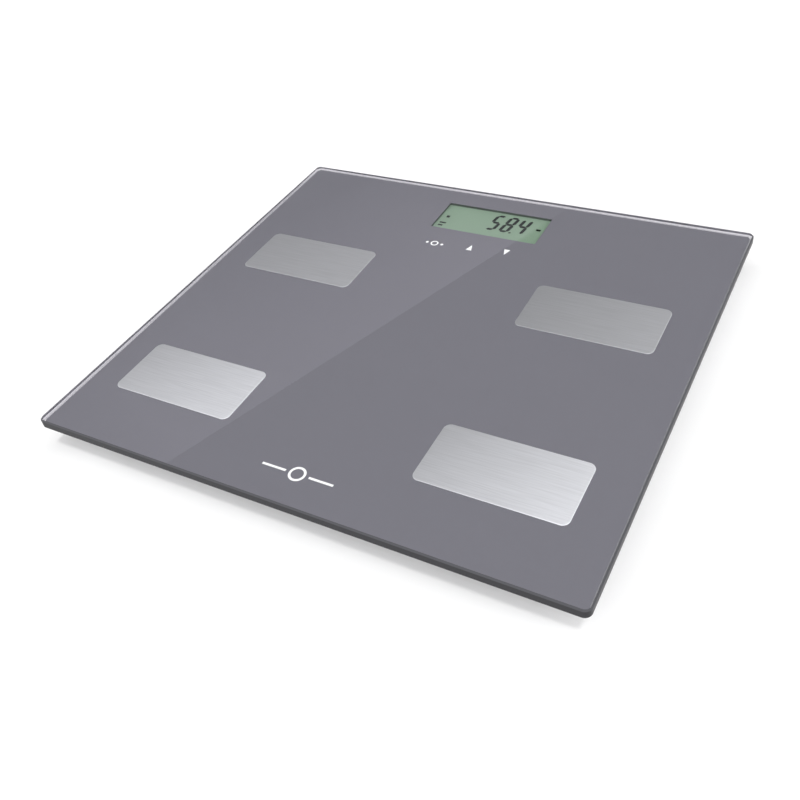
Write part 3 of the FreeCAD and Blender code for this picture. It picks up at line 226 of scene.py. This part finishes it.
class Recipe:
    """The nodes of a material or a world. Grains and reliefs are in millimetres."""

    def __init__(self, block):
        self.block = block
        self.block.use_nodes = True
        self.tree = self.block.node_tree
        self.tree.nodes.clear()

    def add(self, kind, inputs=None, **settings):
        """The outputs of a new node with these settings, and with its inputs linked or set."""
        node = self.tree.nodes.new("ShaderNode" + kind)
        for key, value in settings.items():
            setattr(node, key, value)
        for key, value in (inputs or {}).items():
            if isinstance(value, bpy.types.NodeSocket):
                self.tree.links.new(value, node.inputs[key])
            else:
                node.inputs[key].default_value = value
        return node.outputs

    def finish(self, shader, kind="Material"):
        """The material or world with this shader as its surface."""
        self.add("Output" + kind, {"Surface": shader})
        return self.block

    def calc(self, operation, *values):
        """The result of a calculation."""
        return self.add("Math", dict(enumerate(values)), operation=operation)[0]

    def axes(self, vector):
        """The parts of a vector along X, Y and Z."""
        return self.add("SeparateXYZ", {0: vector})

    def place(self, stretch=(1, 1, 1)):
        """Object coordinates, multiplied along each axis."""
        coords = self.add("TexCoord")["Object"]
        return self.add("Mapping", {"Vector": coords, "Scale": stretch})[0]

    def noise(self, grain, stretch=(1, 1, 1), detail=4):
        """Noise, mostly from 0.3 to 0.7."""
        inputs = {"Vector": self.place(stretch), "Scale": 1 / (grain * MM), "Detail": detail}
        return self.add("TexNoise", inputs)["Fac"]

    def cells(self, grain, stretch=(1, 1, 1)):
        """Distance to the nearest centre of a cell pattern."""
        inputs = {"Vector": self.place(stretch), "Scale": 1 / (grain * MM)}
        return self.add("TexVoronoi", inputs)["Distance"]

    def span(self, value, low, high, start=0.3, end=0.7, shape="LINEAR"):
        """From low to high, as a value goes from start to end."""
        inputs = {"Value": value, "From Min": start, "From Max": end, "To Min": low,
                  "To Max": high}
        return self.add("MapRange", inputs, interpolation_type=shape)[0]

    def mix(self, share, start, end):
        """A colour from start to end."""
        start, end = (color if isinstance(color, bpy.types.NodeSocket) else (*color[:3], 1)
                      for color in (start, end))
        inputs = {0: share, MIX_START: start, MIX_END: end}
        return self.add("Mix", inputs, data_type="RGBA")[MIX_RESULT]

    def tint(self, value, color, spread):
        """A colour made darker and lighter by a value."""
        dark = [c * (1 - spread) for c in color[:3]]
        light = [min(1, c * (1 + spread)) for c in color[:3]]
        return self.mix(self.span(value, 0, 1), dark, light)

    def bump(self, height, relief):
        """A normal from a height."""
        return self.add("Bump", {"Height": height, "Distance": relief * MM})[0]

    def outside(self, low, high):
        """1 outside a box seen from above, 0 inside it."""
        centre, half = (low + high) / 2, (high - low) / 2
        offset = self.axes(self.add("VectorMath", {0: self.place(), 1: -centre},
                                    operation="ADD")[0])
        shares = [self.span(self.calc("ABSOLUTE", offset[axis]), 0, 1,
                            half[axis], half[axis] + BORDER_BLUR * MM) for axis in (0, 1)]
        return self.calc("MAXIMUM", *shares)

    def see_through(self, shader):
        """The shader, but clear to shadow rays and scattered light."""
        path = self.add("LightPath")
        soft = self.calc("MAXIMUM", path["Is Shadow Ray"], path["Is Diffuse Ray"])
        clear = self.add("BsdfTransparent")[0]
        return self.add("MixShader", {0: soft, 1: shader, 2: clear})[0]


def surface(name, grain, spread, rough, relief, color=None, stretch=(1, 1, 1), cells=False,
            **fixed):
    """A material whose colour, gloss and height vary with one grain."""
    recipe = Recipe(bpy.data.materials.new(name))
    fine = recipe.cells(grain, stretch) if cells else recipe.noise(grain, stretch)
    broad = recipe.noise(BROAD * grain, stretch, detail=2)
    inputs = {
        "Base Color": recipe.tint(broad, color or BASE[name], spread),
        "Roughness": recipe.span(fine, *rough),
        "Normal": recipe.bump(fine, relief),
    }
    inputs.update({key.replace("_", " "): value for key, value in fixed.items()})
    return recipe.finish(recipe.add("BsdfPrincipled", inputs)[0])


def brushed(name, left, right):
    """Satin steel brushed along X, with a painted sheen from one brightness at its left to its
    right end.
    """
    recipe = Recipe(bpy.data.materials.new(name))
    fine = recipe.noise(STEEL_GRAIN, STEEL_STRETCH, detail=6)
    streak = recipe.noise(STEEL_STREAK, STEEL_STRETCH, detail=3)
    along = recipe.axes(recipe.add("TexCoord")["Generated"])
    # Painted sheen: the colour grows brighter across the pad, mostly along X.
    tilt = recipe.calc("MULTIPLY_ADD", along["Y"], STEEL_TILT, along["X"])
    red = recipe.calc("MULTIPLY", recipe.span(tilt, left, right, STEEL_TILT, 1),
                      recipe.span(streak, 1 - STEEL_SPREAD, 1 + STEEL_SPREAD))
    green = recipe.calc("MULTIPLY", red, STEEL_GREEN)
    blue = recipe.calc("MULTIPLY", red, STEEL_BLUE)
    normal = recipe.add("NewGeometry")["Normal"]
    across = recipe.add("VectorMath", {0: (0, 1, 0), 1: normal}, operation="CROSS_PRODUCT")[0]
    return recipe.finish(recipe.add("BsdfPrincipled", {
        "Base Color": recipe.add("CombineColor", {"Red": red, "Green": green, "Blue": blue})[0],
        "Metallic": STEEL_METALLIC,
        "Roughness": recipe.span(fine, *STEEL_ROUGH),
        "Anisotropic": STEEL_ANISOTROPY,
        "Tangent": across,
        "Normal": recipe.bump(fine, STEEL_RELIEF),
    })[0])


def polished_glass():
    """Flat faces of the platform, tinted from inside beyond the film: painted shade, darker on
    the right.
    """
    recipe = Recipe(bpy.data.materials.new("polished_glass"))
    smear = recipe.noise(CLEAR_GRAIN, detail=2)
    clear = recipe.tint(smear, CLEAR_COLOR, CLEAR_SPREAD)
    back = recipe.add("NewGeometry")["Backfacing"]
    film_low, film_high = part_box("printed_film")
    painted_shade_border = recipe.calc("MULTIPLY", recipe.outside(film_low, film_high), back)
    # The right side beyond the film takes a darker painted shade.
    right = recipe.span(recipe.axes(recipe.place())["X"], 0, 1,
                        film_high.x, film_high.x + BORDER_BLUR * MM)
    shader = recipe.add("BsdfGlass", {
        "Color": recipe.mix(painted_shade_border, clear, recipe.mix(right, BORDER_PAINTED_SHADE, RIGHT_PAINTED_SHADE)),
        "Roughness": recipe.span(smear, *CLEAR_ROUGH),
        "IOR": GLASS_IOR,
        "Normal": recipe.bump(smear, CLEAR_RELIEF),
    })[0]
    return recipe.finish(recipe.see_through(shader))


def ground_glass():
    """Ground edges of the platform, dark from outside and pale where light comes through."""
    recipe = Recipe(bpy.data.materials.new("ground_glass"))
    fine = recipe.noise(GROUND_GRAIN, GROUND_STRETCH)
    texture = {
        "Roughness": recipe.span(fine, *GROUND_ROUGH),
        "Normal": recipe.bump(fine, GROUND_RELIEF),
    }
    inside = recipe.add("BsdfGlass", {
        "Color": recipe.tint(fine, GROUND_INSIDE, GROUND_SPREAD),
        "IOR": GLASS_IOR,
        **texture,
    })[0]
    geometry = recipe.add("NewGeometry")
    # Painted light: from outside, faces that turn upward get a lighter colour.
    level = recipe.span(recipe.axes(geometry["Normal"])["Z"], 0, 1, *GROUND_TURN)
    outside = recipe.add("BsdfPrincipled", {
        "Base Color": recipe.mix(level, GROUND_UPRIGHT, GROUND_LEVEL_PAINTED_LIGHT),
        "Specular IOR Level": GROUND_SPECULAR,
        **texture,
    })[0]
    both = recipe.add("MixShader", {0: geometry["Backfacing"], 1: outside, 2: inside})[0]
    return recipe.finish(recipe.see_through(both))


METAL = {"Metallic": 1.0}
MATT = {"Specular_IOR_Level": 0.0}
# The finish of each slot: its own colour where the photograph asks for one, or the record's.
LOOKS = {
    "grey_print": dict(color=(0.172, 0.1695, 0.1945), grain=0.25, spread=0.006,
                       rough=(0.6, 0.7), relief=0.0003, **MATT),
    "tray_plastic": dict(color=(0.45, 0.45, 0.46), grain=0.6, spread=0.02, rough=(0.5, 0.65),
                         relief=0.02),
    "foot_plastic": dict(grain=0.6, spread=0.04, rough=(0.45, 0.6), relief=0.02),
    "foot_rubber": dict(grain=0.5, spread=0.12, rough=(0.7, 0.85), relief=0.03),
    "foam": dict(grain=0.4, cells=True, spread=0.08, rough=(0.85, 0.95), relief=0.08),
    "label_paper": dict(grain=0.3, stretch=(1, 6, 1), spread=0.03, rough=(0.35, 0.45),
                        relief=0.004),
    "clear_adhesive": dict(grain=1.5, spread=0.03, rough=(0.2, 0.35), relief=0.01),
    "gauge_film": dict(grain=0.5, stretch=(1, 8, 1), spread=0.15, rough=(0.2, 0.3),
                       relief=0.004),
    "board_green": dict(grain=1.2, spread=0.3, rough=(0.25, 0.4), relief=0.015,
                        Coat_Weight=0.4, Coat_Roughness=0.15),
    "light_guide": dict(grain=0.6, spread=0.03, rough=(0.25, 0.35), relief=0.004),
    "black_plastic": dict(grain=0.5, spread=0.1, rough=(0.45, 0.6), relief=0.015),
    "silicone": dict(grain=0.18, stretch=(1, 0.05, 1), spread=0.5, rough=(0.6, 0.75),
                     relief=0.01),
    "resin": dict(grain=1.5, spread=0.2, rough=(0.12, 0.3), relief=0.05),
    "lead_insulation": dict(grain=1, spread=0.06, rough=(0.3, 0.4), relief=0.005),
    "zinc_steel": dict(grain=0.7, cells=True, spread=0.1, rough=(0.25, 0.45), relief=0.004,
                       **METAL),
    "cell_steel": dict(grain=0.15, stretch=(0.03, 1, 1), spread=0.08, rough=(0.25, 0.4),
                       relief=0.003, **METAL),
    "contact_nickel": dict(grain=0.2, stretch=(0.05, 1, 1), spread=0.05, rough=(0.15, 0.3),
                           relief=0.002, **METAL),
    "coin_steel": dict(grain=0.3, spread=0.04, rough=(0.15, 0.28), relief=0.002, **METAL),
    "spring_steel": dict(grain=0.3, spread=0.05, rough=(0.15, 0.25), relief=0.002, **METAL),
    "lcd_glass": dict(color=(0.225, 0.325, 0.236), grain=1.2, spread=0.02, rough=(0.3, 0.4),
                      relief=0.001),
}
FINISHES = {
    "clear_glass": polished_glass(),
    **{slot: surface(slot, **look) for slot, look in LOOKS.items()},
}
# The bezel's dark green is painted shade: the tone of the shadow on the recess walls round the
# panel.
PAINTED_SHADE_BEZEL = surface("bezel_green", color=(0.035, 0.062, 0.04), grain=0.5, spread=0.1,
                rough=(0.35, 0.5), relief=0.01)
SEGMENT = surface("segment_ink", color=(0.006, 0.008, 0.007), grain=0.3, spread=0.1,
                  rough=(0.4, 0.5), relief=0.001, **MATT)
MARK_INK = surface("mark_ink", color=(0.93, 0.93, 0.94), grain=0.25, spread=0.04,
                   rough=(0.5, 0.6), relief=0.001, **MATT)


def coat(node, material):
    """The CAD node shown in this material, without changing its mesh."""
    for slot in node.material_slots:
        slot.link = "OBJECT"
        slot.material = material


def hide_from_print(piece):
    """The piece without its shadow and its scattered light on the film around it."""
    piece.visible_shadow = False
    piece.visible_diffuse = False


def dress_frame():
    """Every CAD node that stays in the finish of its slot."""
    for name, slot in SLOTS.items():
        if name not in PAINTED_SHEEN:
            coat(frame["nodes"][name], FINISHES[slot])
    coat(frame["nodes"]["lcd_bezel"], PAINTED_SHADE_BEZEL)
    hide_from_print(frame["nodes"]["electrode_adhesive"])


def new_object(name, data):
    """A new object in the scene."""
    thing = bpy.data.objects.new(name, data)
    bpy.context.scene.collection.objects.link(thing)
    return thing


def new_piece(name, mesh, slot, *materials):
    """A piece of the platform in a finish of its own."""
    piece = new_object(name, mesh)
    for material in materials:
        mesh.materials.append(material)
    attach(piece, "platform")
    return piece


def copied_mesh(node, name):
    """A copy of a CAD node's mesh, without its material."""
    mesh = frame["nodes"][node].data.copy()
    mesh.name = name
    mesh.materials.clear()
    return mesh


def make_glass():
    """The platform again, with its lower face just under the top of the film."""
    mesh = copied_mesh("glass_platform", "glass_plate")
    for vertex in mesh.vertices:
        if vertex.co.z < GLASS_LOW.z + FILM_SINK * MM:
            vertex.co.z = GLASS_LOW.z - FILM_SINK * MM
    for face in mesh.polygons:
        face.material_index = 1 if abs(face.normal.z) < EDGE_LIMIT else 0
    glass = new_piece("glass_plate", mesh, "clear_glass", FINISHES["clear_glass"],
                      ground_glass())
    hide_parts("glass_platform")
    return glass


def make_pads():
    """The electrodes again, with a softened rim."""
    for name, ends in PAINTED_SHEEN.items():
        mesh = copied_mesh(name, name.replace("electrode", "steel_pad"))
        # Each pad's steel carries its own painted sheen.
        steel = brushed(name.replace("electrode", "steel"), *ends)
        pad = new_piece(mesh.name, mesh, SLOTS[name], steel)
        rim = pad.modifiers.new("rim", "BEVEL")
        rim.width = RIM * MM
        rim.segments = RIM_SEGMENTS
        rim.limit_method = "ANGLE"
        rim.angle_limit = math.radians(RIM_ANGLE)
        hide_from_print(pad)
        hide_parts(name)


def flat_piece(name, slot, outlines, level, material):
    """Thin plates over these outlines, from a level upwards. All are in metres."""
    shape = bmesh.new()
    for outline in outlines:
        rings = [[shape.verts.new((x, y, z)) for x, y in outline]
                 for z in (level, level + MARK_THICK * MM)]
        shape.faces.new(list(reversed(rings[0])))
        shape.faces.new(rings[1])
        for low, low_next, high, high_next in zip(rings[0], rings[0][1:] + rings[0][:1],
                                                  rings[1], rings[1][1:] + rings[1][:1]):
            shape.faces.new((low, low_next, high_next, high))
    bmesh.ops.recalc_face_normals(shape, faces=shape.faces)
    mesh = bpy.data.meshes.new(name)
    shape.to_mesh(mesh)
    shape.free()
    return new_piece(name, mesh, slot, material)


def arc(x, y, radius, angles):
    """Points on a circle, at these angles in radians."""
    return [(x + radius * math.cos(a), y + radius * math.sin(a)) for a in angles]


def ring_outlines(x, y, outer, inner):
    """The quarters of a flat ring, in metres."""
    parts = []
    for quarter in range(4):
        angles = [math.radians(90 * quarter + 90 * step / QUARTER_STEPS)
                  for step in range(QUARTER_STEPS + 1)]
        parts.append(arc(x, y, outer, angles) + arc(x, y, inner, reversed(angles)))
    return parts


def disc_outline(x, y, radius):
    """A flat disc, in metres."""
    return arc(x, y, radius, [math.tau * step / DISC_STEPS for step in range(DISC_STEPS)])


def bar_outline(x, y, width, depth):
    """A flat bar about its middle, in metres."""
    return [(x + sx * width / 2, y + sy * depth / 2)
            for sx, sy in ((-1, -1), (1, -1), (1, 1), (-1, 1))]


def make_marks():
    """White marks on the film: one for each key, and an emblem at the front."""
    x, y = shifted(middle("key_spring_set"), SET_PLACE)
    outer, inner, shift, dot = metres(*SET_RING, DOT_SHIFT, DOT_SIZE)
    outlines = ring_outlines(x, y, outer / 2, inner / 2)
    outlines += [disc_outline(x + side * shift, y, dot / 2) for side in (-1, 1)]
    width, depth = metres(*ARROW_SIZE)
    for node, place, way in ARROWS:
        x, y = shifted(middle(node), place)
        foot, tip = y - way * depth / 2, y + way * depth / 2
        outlines.append([(x - width / 2, foot), (x + width / 2, foot), (x, tip)])
    length, height, stroke, gap = metres(*EMBLEM)
    x, y = shifted(PLATE, EMBLEM_PLACE)
    outlines += ring_outlines(x, y, height / 2, height / 2 - stroke)
    bar = (length - gap) / 2
    outlines += [bar_outline(x + side * (gap + bar) / 2, y, bar, stroke) for side in (-1, 1)]
    flat_piece("printed_marks", "grey_print", outlines, FILM_TOP + MARK_LIFT * MM, MARK_INK)


def segment_outline(x, y, letter):
    """One segment of a numeral whose lower left corner is at x, y, in metres."""
    width, depth, half, gap = metres(*DIGIT_SIZE, STROKE / 2, SEGMENT_GAP)
    left, right = x + half, x + width - half
    low, mid, high = y + half, y + depth / 2, y + depth - half
    ends = {
        "a": ((left, high), (right, high)),
        "b": ((right, mid), (right, high)),
        "c": ((right, low), (right, mid)),
        "d": ((left, low), (right, low)),
        "e": ((left, low), (left, mid)),
        "f": ((left, mid), (left, high)),
        "g": ((left, mid), (right, mid)),
    }[letter]
    start, end = (Vector(point) for point in ends)
    along = (end - start).normalized()
    side = Vector((-along.y, along.x)) * half
    start, end = start + along * gap, end - along * gap
    corners = (start, start + along * half - side, end - along * half - side, end,
               end - along * half + side, start + along * half + side)
    return [(point.x + DIGIT_LEAN * (point.y - y), point.y) for point in corners]


def make_reading():
    """Dark numerals and small marks on the panel."""
    outlines = []
    left, low = READING_PLACE
    for place, numeral in enumerate(READING):
        x, y = shifted(PANEL, (left + place * DIGIT_PITCH, low))
        outlines += [segment_outline(x, y, letter) for letter in LIT[numeral]]
    outlines += [bar_outline(*shifted(PANEL, place), *metres(*size))
                 for place, size in SMALL_MARKS]
    flat_piece("reading", "lcd_glass", outlines, PANEL_TOP + MARK_LIFT * MM, SEGMENT)


def make_camera():
    """The camera at the photograph's angle."""
    data = bpy.data.cameras.new("camera")
    data.lens = LENS
    data.sensor_width = SENSOR
    data.clip_start = CLIP_START * MM
    camera = new_object("camera", data)
    camera.location = PLATE + Vector(CAMERA_PLACE) * MM
    view = PLATE + Vector(CAMERA_AIM) * MM - camera.location
    camera.rotation_mode = "QUATERNION"
    roll = Quaternion((0, 0, 1), math.radians(CAMERA_ROLL))
    camera.rotation_quaternion = view.to_track_quat("-Z", "Y") @ roll
    bpy.context.scene.camera = camera


def flat_mesh(name, low, high, material):
    """A level rectangle between two corners, in metres."""
    mesh = bpy.data.meshes.new(name)
    corners = [(low[0], low[1], 0), (high[0], low[1], 0), (high[0], high[1], 0),
               (low[0], high[1], 0)]
    mesh.from_pydata(corners, [], [(0, 1, 2, 3)])
    mesh.materials.append(material)
    return mesh


def make_floor():
    """A plain pale floor, clear from below, that lights the underside but not its own shadow."""
    recipe = Recipe(bpy.data.materials.new("floor"))
    shader = recipe.add("BsdfDiffuse", {
        "Color": recipe.tint(recipe.noise(FLOOR_PATCH), FLOOR_COLOR, FLOOR_SPREAD),
        "Normal": recipe.bump(recipe.noise(FLOOR_GRAIN), FLOOR_RELIEF),
    })[0]
    depth = recipe.add("LightPath")["Diffuse Depth"]
    first = recipe.calc("COMPARE", depth, FIRST_BOUNCE, BOUNCE_MARGIN)
    under = recipe.span(recipe.outside(*CAD_BOX), GLOW, 0, 0, 1)
    glow = recipe.add("Emission", {"Strength": recipe.calc("MULTIPLY", first, under)})[0]
    lit = recipe.add("AddShader", {0: shader, 1: glow})[0]
    back = recipe.add("NewGeometry")["Backfacing"]
    clear = recipe.add("BsdfTransparent")[0]
    material = recipe.finish(recipe.add("MixShader", {0: back, 1: lit, 2: clear})[0])
    material.cycles.emission_sampling = "NONE"
    half = FLOOR_SIDE * MM / 2
    floor = new_object("floor", flat_mesh("floor", (-half, -half), (half, half), material))
    floor.location.z = -FLOOR_DROP * MM


def make_card():
    """A pale card high behind the scale, seen only as a soft reflection in the glass."""
    start, end = (Vector((*place, CARD_HEIGHT)) * MM + PLATE for place in CARD_EDGE)
    length, (depth, fade) = (end - start).length, metres(CARD_DEPTH, CARD_FADE)
    recipe = Recipe(bpy.data.materials.new("card"))
    place = recipe.axes(recipe.place())
    glow = recipe.span(place["Y"], CARD_EXTRA, 0, 0, depth)
    for near, far in ((0, -fade), (length, length + fade)):
        glow = recipe.calc("MULTIPLY", glow, recipe.span(place["X"], 1, 0, near, far))
    light = recipe.add("Emission", {"Color": CARD_COLOR, "Strength": glow})[0]
    clear = recipe.add("BsdfTransparent")[0]
    material = recipe.finish(recipe.add("AddShader", {0: light, 1: clear})[0])
    card = new_object("card", flat_mesh("card", (-fade, 0), (length + fade, depth), material))
    card.location = start
    card.rotation_euler.z = math.atan2(end.y - start.y, end.x - start.x)
    card.visible_camera = False
    card.visible_diffuse = False
    card.visible_shadow = False


def make_dome():
    """An even white dome, with a dim region that keeps glare off the glass and isn't seen."""
    recipe = Recipe(bpy.data.worlds.new("dome"))
    inputs = {0: recipe.add("TexCoord")["Generated"], 1: Vector(FLAG_WAY).normalized()}
    facing = recipe.add("VectorMath", inputs, operation="DOT_PRODUCT")["Value"]
    inner, outer = (math.cos(math.radians(angle)) for angle in (FLAG_INNER, FLAG_OUTER))
    level = recipe.span(facing, DOME, FLAG_LEVEL, outer, inner, "SMOOTHSTEP")
    seen = recipe.add("LightPath")["Is Camera Ray"]
    level = recipe.calc("MAXIMUM", level, seen)
    return recipe.finish(recipe.add("Background", {"Strength": level})[0], "World")


def make_light(glass):
    """A soft key light from the front right, which the glass doesn't mirror, under the dome."""
    data = bpy.data.lights.new("key", "SUN")
    data.energy = KEY_STRENGTH
    data.angle = math.radians(KEY_ANGLE)
    key = new_object("key", data)
    key.rotation_euler = Vector(KEY_DIRECTION).to_track_quat("Z", "Y").to_euler()
    unlit = bpy.data.collections.new("unlit_by_key")
    unlit.objects.link(glass)
    unlit.collection_objects[0].light_linking.link_state = "EXCLUDE"
    key.light_linking.receiver_collection = unlit
    bpy.context.scene.world = make_dome()
    bpy.context.scene.view_settings.view_transform = "Standard"


make_camera()
make_floor()
make_card()
dress_frame()
make_light(make_glass())
make_pads()
make_marks()
make_reading()
